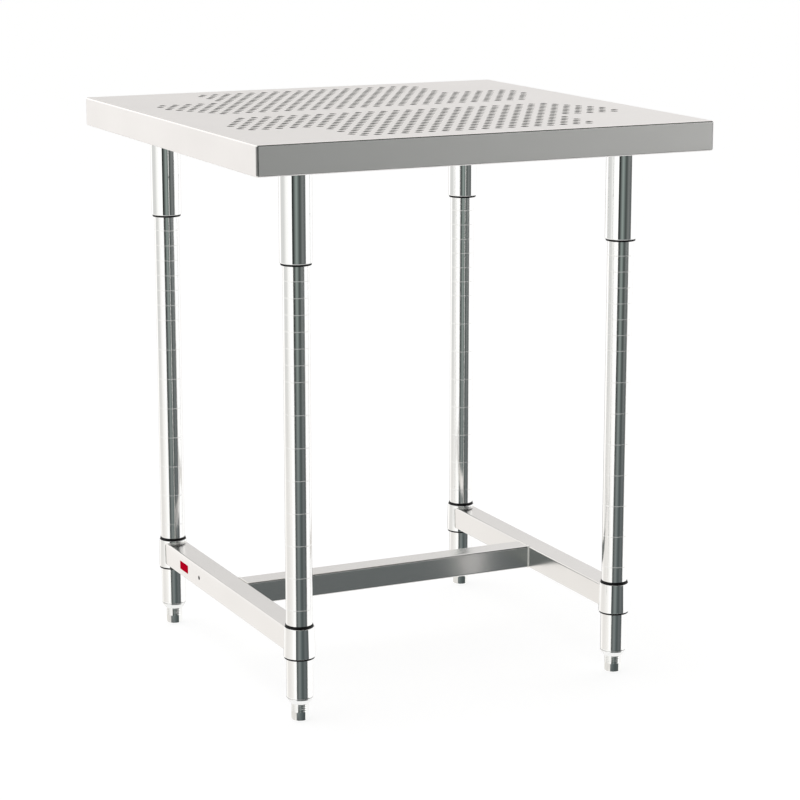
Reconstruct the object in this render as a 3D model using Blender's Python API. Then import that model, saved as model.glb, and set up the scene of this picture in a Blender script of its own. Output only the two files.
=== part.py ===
"""Stainless steel work table with a perforated, folded worktop on four grooved posts.

The top carries a socket over each post, and a low H-shaped frame of square tube joins the posts. Both are held
by tapered split sleeves that grip the grooves, so both can be set higher. The feet are threaded.
Metres, +Z up, with the origin on the floor below the middle of the table. The front is towards -Y.
"""

import math

import bmesh
import bpy
from mathutils import Matrix
from mathutils.geometry import delaunay_2d_cdt

# Clearances
fit_gap = 0.0003
cut_overrun = 0.002
join_distance = 0.0000001

# Worktop
overall_height = 0.903
top_side = 0.760
sheet = 0.0016
apron_height = 0.0467
bend_radius = 0.003
lip_width = 0.015
corner_radius = 0.004
inner_corner_radius = 0.001

# Holes in the worktop, in two fields with a blank band between them
hole_diameter = 0.020
blank_band = 0.0643
front_margin = 0.0464
side_margin = 0.0514
field_taper = 0.0556
plate_margin = 0.003

# Stiffener under the blank band
hat_width = 0.030
hat_flange = 0.012
hat_depth = 0.022

# Corner plates and leg sockets
plate_side = 0.130
plate_thickness = 0.003
plate_corner_radius = 0.012
socket_length = 0.1862
socket_wall = 0.0011

# Posts
leg_inset = 0.1026
post_diameter = 0.0413
post_wall = 0.0014
post_top_gap = 0.008
groove_step = 0.0254
groove_width = 0.0028
groove_depth = 0.0009

# Split sleeves: each grips a groove, at a height above its lower end
sleeve_height = 0.059
sleeve_top_wall = 0.00105
sleeve_bottom_wall = 0.00195
sleeve_slit = 0.0008
sleeve_show = 0.0026
socket_grip_height = 0.0286
collar_grip_height = 0.0318

# Lower frame
collar_height = 0.0506
collar_top_wall = 0.0009
collar_bottom_wall = 0.0013
rail_side = 0.0381
rail_wall = 0.0015
rail_corner_radius = 0.003
rail_drop = 0.0034
vent_diameter = 0.007
vent_offset = 0.1032

# Levelling feet, and the inserts that they screw into
hex_across_flats = 0.0223
hex_height = 0.012
hex_chamfer = 0.0012
stem_diameter = 0.022
stem_length = 0.050
stem_show = 0.015
insert_cone_height = 0.0072
insert_rim_height = 0.0017
insert_spigot_height = 0.030
insert_mouth_wall = 0.0037

# Counts and angles
round_sides = 14
hole_sides = 6
hex_sides = 6
hole_rows = 10
bend_steps = 2
frame_steps_below_socket = 24
groove_count = 6
steps_between_grooves = 4
steps_above_frame = 2
full_turn = 2 * math.pi
half_turn = math.pi
quarter_turn = math.pi / 2
sharp_angle = math.radians(35)
row_angle = math.radians(30)

# Heights worked out from the sizes above
deck_underside = overall_height - sheet
plate_underside = deck_underside - fit_gap - plate_thickness
socket_top = plate_underside - fit_gap
socket_bottom = socket_top - socket_length
upper_sleeve_bottom = socket_bottom - sleeve_show
upper_sleeve_top = upper_sleeve_bottom + sleeve_height
socket_groove = upper_sleeve_bottom + socket_grip_height
frame_groove = socket_groove - frame_steps_below_socket * groove_step
lower_sleeve_bottom = frame_groove - collar_grip_height
collar_bottom = lower_sleeve_bottom + sleeve_show
collar_top = collar_bottom + collar_height
rail_middle = collar_top - rail_drop - rail_side / 2
insert_bottom = hex_height + stem_show
insert_cone_top = insert_bottom + insert_cone_height
insert_rim_top = insert_cone_top + insert_rim_height
insert_top = insert_rim_top + insert_spigot_height
post_bottom = insert_rim_top + fit_gap
post_top = plate_underside - post_top_gap

# Radii and places worked out from the sizes above
leg_offset = top_side / 2 - leg_inset
post_radius = post_diameter / 2
post_bore_radius = post_radius - post_wall
sleeve_bore_radius = post_radius + fit_gap
sleeve_top_radius = sleeve_bore_radius + sleeve_top_wall
sleeve_bottom_radius = sleeve_bore_radius + sleeve_bottom_wall
socket_radius = sleeve_bottom_radius + fit_gap + socket_wall
stem_radius = stem_diameter / 2
insert_bore_radius = stem_radius + fit_gap

CORNERS = {
    "front_left": (-leg_offset, -leg_offset),
    "front_right": (leg_offset, -leg_offset),
    "back_left": (-leg_offset, leg_offset),
    "back_right": (leg_offset, leg_offset),
}


def clear_scene():
    for obj in list(bpy.data.objects):
        bpy.data.objects.remove(obj, do_unlink=True)


def finish(name, colour, roughness, metallic):
    """A surface with one colour, roughness and metallic value."""
    material = bpy.data.materials.new(name)
    material.use_nodes = True
    shader = material.node_tree.nodes["Principled BSDF"]
    shader.inputs["Base Color"].default_value = (*colour, 1.0)
    shader.inputs["Roughness"].default_value = roughness
    shader.inputs["Metallic"].default_value = metallic
    return material


def body_empty(name, height):
    """An empty on a sliding body's axis, which carries the pieces of that body."""
    empty = bpy.data.objects.new(name, None)
    empty.location = (0, 0, height)
    bpy.context.scene.collection.objects.link(empty)
    return empty


def piece(name, mesh, material, place, body=None):
    """One named object. Its place is given in the table's own frame, also when a body's empty carries it."""
    obj = bpy.data.objects.new(name, mesh)
    obj.location = place
    if body is not None:
        obj.parent = body
        obj.location = obj.location - body.location
    if not mesh.materials:
        mesh.materials.append(material)
    bpy.context.scene.collection.objects.link(obj)
    return obj


def mesh_from(name, shape):
    """The finished mesh of a shape, facing out, smooth but for its corners."""
    bmesh.ops.recalc_face_normals(shape, faces=shape.faces)
    mesh = bpy.data.meshes.new(name)
    shape.to_mesh(mesh)
    shape.free()
    mesh.shade_smooth()
    mesh.set_sharp_from_angle(angle=sharp_angle)
    return mesh


def outline(shape, points):
    """The edges of a closed outline through the points."""
    corners = [shape.verts.new(point) for point in points]
    return [shape.edges.new(pair) for pair in zip(corners, corners[1:] + corners[:1])]


def band(shape, lower, upper):
    """A band of faces between two outlines with as many corners each, corner to corner."""
    for low_edge, high_edge in zip(lower, upper):
        shape.faces.new([*low_edge.verts, *reversed(high_edge.verts)])


def extrude(shape, reach):
    """Sweeps the flat faces made so far along the reach, which makes them a solid."""
    swept = bmesh.ops.extrude_face_region(shape, geom=shape.faces[:])
    corners = [item for item in swept["geom"] if isinstance(item, bmesh.types.BMVert)]
    bmesh.ops.translate(shape, verts=corners, vec=reach)


def turned(name, profile):
    """A turned piece from its closed profile of (radius, height) points."""
    shape = bmesh.new()
    edges = outline(shape, [(radius, 0, height) for radius, height in profile])
    bmesh.ops.spin(
        shape,
        geom=shape.verts[:] + edges,
        cent=(0, 0, 0),
        axis=(0, 0, 1),
        angle=full_turn,
        steps=round_sides,
        use_merge=True,
    )
    return mesh_from(name, shape)


def ring(shape, sides, radius, height, capped):
    """The edges of a level ring of corners round the Z axis, the first of them towards +X."""
    place = Matrix.Translation((0, 0, height)) @ Matrix.Rotation(-quarter_turn, 4, "Z")
    made = bmesh.ops.create_circle(shape, cap_ends=capped, segments=sides, radius=radius, matrix=place)
    return list(dict.fromkeys(edge for vertex in made["verts"] for edge in vertex.link_edges))


def stack(name, levels):
    """A solid through level rings, each given as (sides, radius, height), closed at both ends."""
    shape = bmesh.new()
    ends = (levels[0], levels[-1])
    rings = [ring(shape, *level, level in ends) for level in levels]
    for lower, upper in zip(rings, rings[1:]):
        bmesh.ops.bridge_loops(shape, edges=lower + upper)
    return mesh_from(name, shape)


def arc(centre, radius, start):
    """Points of a quarter turn round a centre, from the start angle on."""
    angles = [start + quarter_turn * step / bend_steps for step in range(bend_steps + 1)]
    return [(centre[0] + radius * math.cos(angle), centre[1] + radius * math.sin(angle)) for angle in angles]


def rounded_square(half_side, radius):
    """The outline of a square with round corners, anticlockwise."""
    reach = half_side - radius
    points = []
    for quarter, centre in enumerate(((reach, reach), (-reach, reach), (-reach, -reach), (reach, -reach))):
        points += arc(centre, radius, quarter * quarter_turn)
    return points


def cut(obj, cutter):
    """Takes the cutter's shape out of the piece and keeps the cutter as a hidden guide."""
    modifier = obj.modifiers.new("cut", "BOOLEAN")
    modifier.operation = "DIFFERENCE"
    modifier.object = cutter
    cutter.hide_render = True
    cutter.display_type = "WIRE"


def hole_centres():
    """Centres of the worktop's holes, in staggered rows on each side of the blank band.

    Each row is half a pitch longer than the one nearer the band until the field has its full width, and the rows
    beside the corner plates stop short of them.
    """
    hole_radius = hole_diameter / 2
    first_row = blank_band / 2 + hole_radius
    last_row = top_side / 2 - front_margin - hole_radius
    row_spacing = (last_row - first_row) / (hole_rows - 1)
    pitch = row_spacing / math.cos(row_angle)
    plate_edge = leg_offset - plate_side / 2 - plate_margin - hole_radius
    full_reach = top_side / 2 - side_margin - hole_radius
    centres = []
    for row in range(hole_rows):
        across = first_row + row * row_spacing
        reach = min(full_reach, full_reach - field_taper + row * pitch / 2)
        if across > plate_edge:
            reach = plate_edge
        stagger = pitch / 2 * (row % 2)
        places = [stagger + step * pitch for step in range(int((reach - stagger) / pitch) + 1)]
        row_places = dict.fromkeys(places + [-place for place in places])
        centres += [(along, side * across) for along in row_places for side in (-1, 1)]
    return centres


def worktop_profile():
    """The folded sheet's edge as (inset, height) points: down the outer face, round the lip and up the inner face."""
    apron_bottom = overall_height - apron_height
    upper_centre = (bend_radius, overall_height - bend_radius)
    lower_centre = (bend_radius, apron_bottom + bend_radius)
    outer_face = arc(upper_centre, bend_radius, quarter_turn) + arc(lower_centre, bend_radius, half_turn)
    inside_radius = bend_radius - sheet
    inner_face = arc(upper_centre, inside_radius, quarter_turn) + arc(lower_centre, inside_radius, half_turn)
    return outer_face + [(lip_width, apron_bottom), (lip_width, apron_bottom + sheet)] + inner_face[::-1]


def fill_deck(shape, upper_loops, lower_loops):
    """Fills the flats of the deck with triangles, on top and on the underside.

    Each loop is a list of edges: the border first, and then the holes in the same order on both sides.
    """
    upper_edges = sum(upper_loops, [])
    upper = [edge.verts[0] for edge in upper_edges]
    lower = [edge.verts[0] for edge in sum(lower_loops, [])]
    owners = [number for number, edges in enumerate(upper_loops) for edge in edges]
    numbers = {corner: number for number, corner in enumerate(upper)}
    links = [[numbers[corner] for corner in edge.verts] for edge in upper_edges]
    found = delaunay_2d_cdt([corner.co.xy for corner in upper], links, [], 1, join_distance)
    for triangle in found[2]:
        points = [found[3][point][0] for point in triangle]
        touched = {owners[point] for point in points}
        if len(touched) > 1 or 0 in touched:
            shape.faces.new([upper[point] for point in points])
            shape.faces.new([lower[point] for point in reversed(points)])


def worktop_mesh():
    """The folded sheet: rings of its edge profile, and the deck with its holes between the first and the last."""
    shape = bmesh.new()
    rings = []
    for inset, height in worktop_profile():
        radius = max(corner_radius - inset, inner_corner_radius)
        points = rounded_square(top_side / 2 - inset, radius)
        rings.append(outline(shape, [(x, y, height) for x, y in points]))
    for ring_edges, following in zip(rings, rings[1:]):
        band(shape, ring_edges, following)
    angles = [full_turn * (side + 0.5) / hole_sides for side in range(hole_sides)]
    corners = [(hole_diameter / 2 * math.cos(angle), hole_diameter / 2 * math.sin(angle)) for angle in angles]
    upper_loops = [rings[0]]
    lower_loops = [rings[-1]]
    for along, across in hole_centres():
        for loops, height in ((upper_loops, overall_height), (lower_loops, deck_underside)):
            loops.append(outline(shape, [(along + x, across + y, height) for x, y in corners]))
        band(shape, upper_loops[-1], lower_loops[-1])
    fill_deck(shape, upper_loops, lower_loops)
    return mesh_from("worktop", shape)


def stiffener_mesh():
    """A hat channel that hangs below the deck and runs from apron to apron."""
    crown = hat_width / 2
    edge = crown + hat_flange
    inside = crown - sheet
    right = [(inside, sheet - hat_depth), (inside, 0), (edge, 0), (edge, -sheet), (crown, -sheet), (crown, -hat_depth)]
    left = [(-across, height) for across, height in reversed(right)]
    reach = top_side / 2 - bend_radius - fit_gap
    shape = bmesh.new()
    bmesh.ops.contextual_create(shape, geom=outline(shape, [(-reach, y, z) for y, z in right + left]))
    extrude(shape, (2 * reach, 0, 0))
    return mesh_from("centre_stiffener", shape)


def corner_plate_mesh():
    """A flat plate with round corners, which carries a socket."""
    shape = bmesh.new()
    points = rounded_square(plate_side / 2, plate_corner_radius)
    bmesh.ops.contextual_create(shape, geom=outline(shape, [(x, y, 0) for x, y in points]))
    extrude(shape, (0, 0, plate_thickness))
    return mesh_from("corner_plate", shape)


def socket_mesh():
    """A straight tube whose bore tapers in with the sleeve and runs on from the sleeve's upper end."""
    mouth = sleeve_bottom_radius + fit_gap
    throat = sleeve_top_radius + fit_gap
    return turned("leg_socket", [
        (socket_radius, socket_top),
        (socket_radius, socket_bottom),
        (mouth, socket_bottom),
        (throat, upper_sleeve_top),
        (throat, socket_top),
    ])


def post_mesh():
    """A tube with ring grooves rolled into its outer side."""
    profile = [(post_radius, post_top)]
    for count in reversed(range(groove_count)):
        middle = frame_groove + (steps_above_frame + count * steps_between_grooves) * groove_step
        profile += [
            (post_radius, middle + groove_width / 2),
            (post_radius - groove_depth, middle),
            (post_radius, middle - groove_width / 2),
        ]
    profile += [(post_radius, post_bottom), (post_bore_radius, post_bottom), (post_bore_radius, post_top)]
    return turned("post", profile)


def sleeve_radius(height):
    """Outer radius of a split sleeve at a height above its lower end."""
    share = height / sleeve_height
    return sleeve_bottom_radius + (sleeve_top_radius - sleeve_bottom_radius) * share


def half_sleeve_mesh(name, side):
    """Half of a tapered split sleeve, its lower end at height zero, in front of its axis or behind it."""
    shape = bmesh.new()
    section = [
        (sleeve_bore_radius, 0, 0),
        (sleeve_bottom_radius, 0, 0),
        (sleeve_top_radius, 0, sleeve_height),
        (sleeve_bore_radius, 0, sleeve_height),
    ]
    bmesh.ops.contextual_create(shape, geom=outline(shape, section))
    bmesh.ops.spin(
        shape,
        geom=shape.verts[:] + shape.edges[:] + shape.faces[:],
        cent=(0, 0, 0),
        axis=(0, 0, side),
        angle=half_turn,
        steps=round_sides // 2,
    )
    for corner in shape.verts:
        if abs(corner.co.y) < sleeve_slit / 2:
            corner.co.y = side * sleeve_slit / 2
    return mesh_from(name, shape)


def collar_radii(height):
    """Bore and outer radius of a rail collar at a height above its lower end."""
    bore = sleeve_radius(sleeve_show + height) + fit_gap
    wall = collar_bottom_wall + (collar_top_wall - collar_bottom_wall) * height / collar_height
    return bore, bore + wall


def collar_mesh():
    """A short tube that tapers with the sleeve inside it."""
    bottom_bore, bottom_radius = collar_radii(0)
    top_bore, top_radius = collar_radii(collar_height)
    return turned("rail_collar", [
        (top_radius, collar_top),
        (bottom_radius, collar_bottom),
        (bottom_bore, collar_bottom),
        (top_bore, collar_top),
    ])


def square_tube(name, length):
    """A length of square tube along Y with round corners, centred on its own origin."""
    shape = bmesh.new()
    edges = []
    for inset in (0, rail_wall):
        points = rounded_square(rail_side / 2 - inset, rail_corner_radius - inset)
        edges += outline(shape, [(x, -length / 2, z) for x, z in points])
    bmesh.ops.bridge_loops(shape, edges=edges)
    extrude(shape, (0, length, 0))
    return mesh_from(name, shape)


def side_rail(name, side, body):
    """A rail from collar to collar, its ends cut to the collars, with a small vent hole in its outer face."""
    place = (side * leg_offset, 0, rail_middle)
    rail = piece(name, square_tube(name, 2 * leg_offset), satin_steel, place, body)
    lower = collar_radii(0)[1] + fit_gap
    upper = collar_radii(collar_height)[1] + fit_gap
    cope = stack(name + "_cope", [(round_sides, lower, 0), (round_sides, upper, collar_height)])
    for end in (-leg_offset, leg_offset):
        cut(rail, piece(name + "_cope", cope, satin_steel, (side * leg_offset, end, collar_bottom)))
    reach = rail_wall + cut_overrun
    drill = stack(name + "_drill", [(hole_sides, vent_diameter / 2, -reach), (hole_sides, vent_diameter / 2, reach)])
    outer_face = side * (leg_offset + rail_side / 2)
    vent = piece(name + "_drill", drill, satin_steel, (outer_face, -side * vent_offset, rail_middle))
    vent.rotation_euler.y = quarter_turn
    cut(rail, vent)


def insert_mesh():
    """The plug in a post's foot: a spigot in the tube, a rim below it and a cone down to the stem."""
    spigot_radius = post_bore_radius - fit_gap
    return turned("foot_insert", [
        (spigot_radius, insert_top),
        (spigot_radius, insert_rim_top),
        (post_radius, insert_rim_top),
        (post_radius, insert_cone_top),
        (insert_bore_radius + insert_mouth_wall, insert_bottom),
        (insert_bore_radius, insert_bottom),
        (insert_bore_radius, insert_top),
    ])


def foot_mesh():
    """A levelling foot: a hexagon with a chamfered sole, and a round stem that goes up into the insert."""
    corner_reach = hex_across_flats / math.sqrt(3)
    return stack("levelling_foot", [
        (hex_sides, corner_reach - hex_chamfer, 0),
        (hex_sides, corner_reach, hex_chamfer),
        (hex_sides, corner_reach, hex_height),
        (round_sides, stem_radius, hex_height),
        (round_sides, stem_radius, hex_height + stem_length),
    ])


def build_top():
    """The worktop and what is fixed under it. It can be set higher on the posts."""
    body = body_empty("top_body", deck_underside)
    piece("worktop", worktop_mesh(), brushed_steel, (0, 0, 0), body)
    piece("centre_stiffener", stiffener_mesh(), satin_steel, (0, 0, deck_underside - fit_gap), body)
    plate = corner_plate_mesh()
    socket = socket_mesh()
    for corner, (x, y) in CORNERS.items():
        piece("corner_plate_" + corner, plate, satin_steel, (x, y, plate_underside), body)
        piece("leg_socket_" + corner, socket, polished_steel, (x, y, 0), body)
    return body


def build_frame():
    """The H-shaped frame: two side rails, the cross bar between them and a collar round each post."""
    body = body_empty("frame_body", rail_middle)
    side_rail("left_rail", -1, body)
    side_rail("right_rail", 1, body)
    span = 2 * (leg_offset - rail_side / 2 - fit_gap)
    bar = piece("cross_bar", square_tube("cross_bar", span), satin_steel, (0, 0, rail_middle), body)
    bar.rotation_euler.z = quarter_turn
    collar = collar_mesh()
    for corner, (x, y) in CORNERS.items():
        piece("rail_collar_" + corner, collar, polished_steel, (x, y, 0), body)
    return body


def build_sleeves(level, bottom, body):
    """Two half sleeves round each post, one in front and one behind."""
    for half, side in (("front", -1), ("back", 1)):
        mesh = half_sleeve_mesh(level + "_sleeve_" + half, side)
        for corner, (x, y) in CORNERS.items():
            piece(f"{level}_sleeve_{corner}_{half}", mesh, black_plastic, (x, y, bottom), body)


def build_legs():
    """The posts, the inserts in their feet and the levelling feet."""
    post = post_mesh()
    insert = insert_mesh()
    foot = foot_mesh()
    for corner, (x, y) in CORNERS.items():
        piece("post_" + corner, post, polished_steel, (x, y, 0))
        piece("foot_insert_" + corner, insert, bright_zinc, (x, y, 0))
        piece("levelling_foot_" + corner, foot, dark_steel, (x, y, 0))


clear_scene()
brushed_steel = finish("brushed_steel", (0.74, 0.73, 0.71), 0.34, 1.0)
satin_steel = finish("satin_steel", (0.78, 0.77, 0.75), 0.22, 1.0)
polished_steel = finish("polished_steel", (0.86, 0.86, 0.85), 0.08, 1.0)
black_plastic = finish("black_plastic", (0.012, 0.012, 0.013), 0.45, 0.0)
bright_zinc = finish("bright_zinc", (0.72, 0.72, 0.73), 0.25, 1.0)
dark_steel = finish("dark_steel", (0.26, 0.26, 0.25), 0.35, 1.0)
build_sleeves("upper", upper_sleeve_bottom, build_top())
build_sleeves("lower", lower_sleeve_bottom, build_frame())
build_legs()
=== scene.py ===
"""Stainless steel work table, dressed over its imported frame.

A square perforated worktop stands on four grooved tube posts, with an H-shaped lower frame of square tube.
The top and the lower frame are held on the posts by black split sleeves and slide up them. The feet are threaded.
Metres, +Z up, with the origin on the floor below the middle of the table. The front is towards -Y.
"""

import logging
import math
from dataclasses import dataclass
from enum import Enum, IntEnum
from typing import Any, ClassVar, Iterable, Iterator, Optional, Sequence

import bmesh
import bpy
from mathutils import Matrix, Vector
from mathutils.geometry import delaunay_2d_cdt


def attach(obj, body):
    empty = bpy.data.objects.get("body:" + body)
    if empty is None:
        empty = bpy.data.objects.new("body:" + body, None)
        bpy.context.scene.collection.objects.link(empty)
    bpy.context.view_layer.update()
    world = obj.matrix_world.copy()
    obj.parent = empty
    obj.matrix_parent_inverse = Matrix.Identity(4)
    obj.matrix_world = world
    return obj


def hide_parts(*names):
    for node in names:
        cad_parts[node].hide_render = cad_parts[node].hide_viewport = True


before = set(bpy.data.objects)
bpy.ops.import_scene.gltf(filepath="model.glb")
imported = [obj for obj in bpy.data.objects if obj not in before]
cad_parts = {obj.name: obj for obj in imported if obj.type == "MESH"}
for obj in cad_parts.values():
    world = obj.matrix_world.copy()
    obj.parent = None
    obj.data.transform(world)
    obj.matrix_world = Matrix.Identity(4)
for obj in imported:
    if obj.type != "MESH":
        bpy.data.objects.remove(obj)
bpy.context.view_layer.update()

Point = tuple[float, float, float]
Pair = tuple[float, float]
Colour = tuple[float, float, float]
Ring = list[int]
Stops = tuple[tuple[float, Colour], ...]

FULL_TURN = 2 * math.pi
HALF_TURN = math.pi
QUARTER_TURN = math.pi / 2
SIXTH_TURN = math.pi / 3
WHITE: Colour = (1.0, 1.0, 1.0)
TABLE_HEIGHT = 0.903

log = logging.getLogger("work_table")


class Slot(Enum):
    """The record's material slots."""

    SHEET = "brushed_steel"
    SATIN = "satin_steel"
    POLISHED = "polished_steel"
    PLASTIC = "black_plastic"
    ZINC = "bright_zinc"
    PLATED = "dark_steel"


class Body(Enum):
    """The frame's bodies."""

    POSTS = "posts"
    TOP = "top"
    LOWER_FRAME = "h_frame"
    FOOT_FRONT_LEFT = "foot_front_left"
    FOOT_FRONT_RIGHT = "foot_front_right"
    FOOT_BACK_LEFT = "foot_back_left"
    FOOT_BACK_RIGHT = "foot_back_right"


class Tagged(Enum):
    """A named option whose name also stands in the names of pieces and nodes."""

    @property
    def tag(self) -> str:
        """The option's name in small letters."""
        return self.name.lower()


class Corner(Tagged):
    """The four legs, each with its side in X and its side in Y."""

    FRONT_LEFT = (-1, -1)
    FRONT_RIGHT = (1, -1)
    BACK_LEFT = (-1, 1)
    BACK_RIGHT = (1, 1)


class Side(Tagged):
    """The two side rails, each with its side in X."""

    LEFT = -1
    RIGHT = 1


class Half(Tagged):
    """The halves of a split sleeve, each with its side of the axis in Y."""

    FRONT = -1
    BACK = 1


class Level(Tagged):
    """The two levels of split sleeves, each with the body that they slide with."""

    UPPER = Body.TOP
    LOWER = Body.LOWER_FRAME


class SheetTone(IntEnum):
    """The numbers of the worktop's finishes beside its main one."""

    # Painted shade inside the holes.
    PUNCHED = 1
    # Painted dark reflection on the rounded upright corners.
    SEAM = 2
    FOLD = 3


# Finishes


class Graph:
    """The node tree of one material, with one call for adding a node and wiring it."""

    def __init__(self, tree: bpy.types.NodeTree) -> None:
        """Takes over the node tree."""
        self.tree = tree

    def add(self, kind: str, wires: Optional[dict[Any, Any]] = None, **settings: Any) -> bpy.types.Node:
        """Adds a node.

        Args:
            kind: The node's type name without its leading "ShaderNode".
            wires: A socket or a plain value for each input, by the input's name or number.
            settings: The node's own properties.

        Returns:
            The new node.
        """
        node = self.tree.nodes.new("ShaderNode" + kind)
        for name, value in settings.items():
            setattr(node, name, value)
        for key, value in (wires or {}).items():
            self.wire(node.inputs[key], value)
        return node

    def wire(self, socket: bpy.types.NodeSocket, value: Any) -> None:
        """Links a socket to the input, or sets the input's own value.

        Args:
            socket: The input.
            value: Another node's output, or a plain value. A colour is given without its alpha.
        """
        if isinstance(value, bpy.types.NodeSocket):
            self.tree.links.new(value, socket)
        else:
            socket.default_value = (*value, 1.0) if socket.type == "RGBA" else value

    def ramp(self, factor: bpy.types.NodeSocket, stops: Stops) -> bpy.types.NodeSocket:
        """A colour ramp.

        Args:
            factor: What is looked up in the ramp.
            stops: The position and the colour of each stop, in order.

        Returns:
            The ramp's colour output.
        """
        node = self.add("ValToRGB", {0: factor})
        elements = node.color_ramp.elements
        while len(elements) < len(stops):
            elements.new(0.5)
        for element, (position, colour) in zip(elements, stops):
            element.position = position
            element.color = (*colour, 1.0)
        return node.outputs[0]

    def blend(self, factor: Any, first: Any, second: Any) -> bpy.types.NodeSocket:
        """A mix of two colours, the second one at a factor of one. The node's colours are at 6, 7 and 2."""
        return self.add("Mix", {0: factor, 6: first, 7: second}, data_type="RGBA").outputs[2]

    def span(self, value: Any, source: Pair, target: Pair = (0.0, 1.0)) -> bpy.types.NodeSocket:
        """A value carried from the source range to the target range, held at its ends."""
        wires = {0: value, 1: source[0], 2: source[1], 3: target[0], 4: target[1]}
        return self.add("MapRange", wires, clamp=True).outputs[0]

    def window(self, value: Any, rise: Pair, fall: Pair) -> bpy.types.NodeSocket:
        """One between a soft rise and a soft fall of the value, and nought outside them."""
        return self.maths("MULTIPLY", self.span(value, rise), self.span(value, fall, (1.0, 0.0)))

    def maths(self, operation: str, *values: Any) -> bpy.types.NodeSocket:
        """A sum, product or other operation on numbers."""
        return self.add("Math", dict(enumerate(values)), operation=operation).outputs[0]

    def vector(self, operation: str, *values: Any) -> bpy.types.Node:
        """An operation on vectors, returned as its node because some give a number and some a vector."""
        return self.add("VectorMath", dict(enumerate(values)), operation=operation)

    def noise(self, place: Any, waves: float, detail: float, rough: float = 0.5) -> bpy.types.NodeSocket:
        """Soft noise over the place, with so many waves in each of its units."""
        wires = {"Vector": place, "Scale": waves, "Detail": detail, "Roughness": rough}
        return self.add("TexNoise", wires).outputs[0]

    def surface(self, shader: bpy.types.Node, colour: Any, roughness: Any, relief: Any, depth: float) -> None:
        """Wires a surface to its shader.

        Args:
            shader: The principled shader.
            colour: The colour.
            roughness: The roughness.
            relief: The fine relief, from 0 to 1.
            depth: The relief's depth in metres.
        """
        bump = self.add("Bump", {"Strength": 1.0, "Distance": depth, "Height": relief}).outputs[0]
        for name, value in (("Base Color", colour), ("Roughness", roughness), ("Normal", bump)):
            self.wire(shader.inputs[name], value)


@dataclass(frozen=True)
class Finish:
    """What every finish has.

    Attributes:
        name: The material's name.
        slot: The record's slot that it stands for.
        colour: Its colour where it is clean.
        handled: Its colour in the faint patches that handling leaves.
        roughness: The lowest and the highest roughness.
    """

    name: str
    slot: Slot
    colour: Colour
    handled: Colour
    roughness: Pair

    def material(self) -> bpy.types.Material:
        """Builds the material.

        Returns:
            The material, ready for a piece.
        """
        material = bpy.data.materials.new(self.name)
        material.use_nodes = True
        self.dress(Graph(material.node_tree), material.node_tree.nodes["Principled BSDF"])
        return material

    def dress(self, graph: Graph, shader: bpy.types.Node) -> None:
        """Wires the finish to the material's shader. Each kind of finish has its own way."""
        raise NotImplementedError


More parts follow.
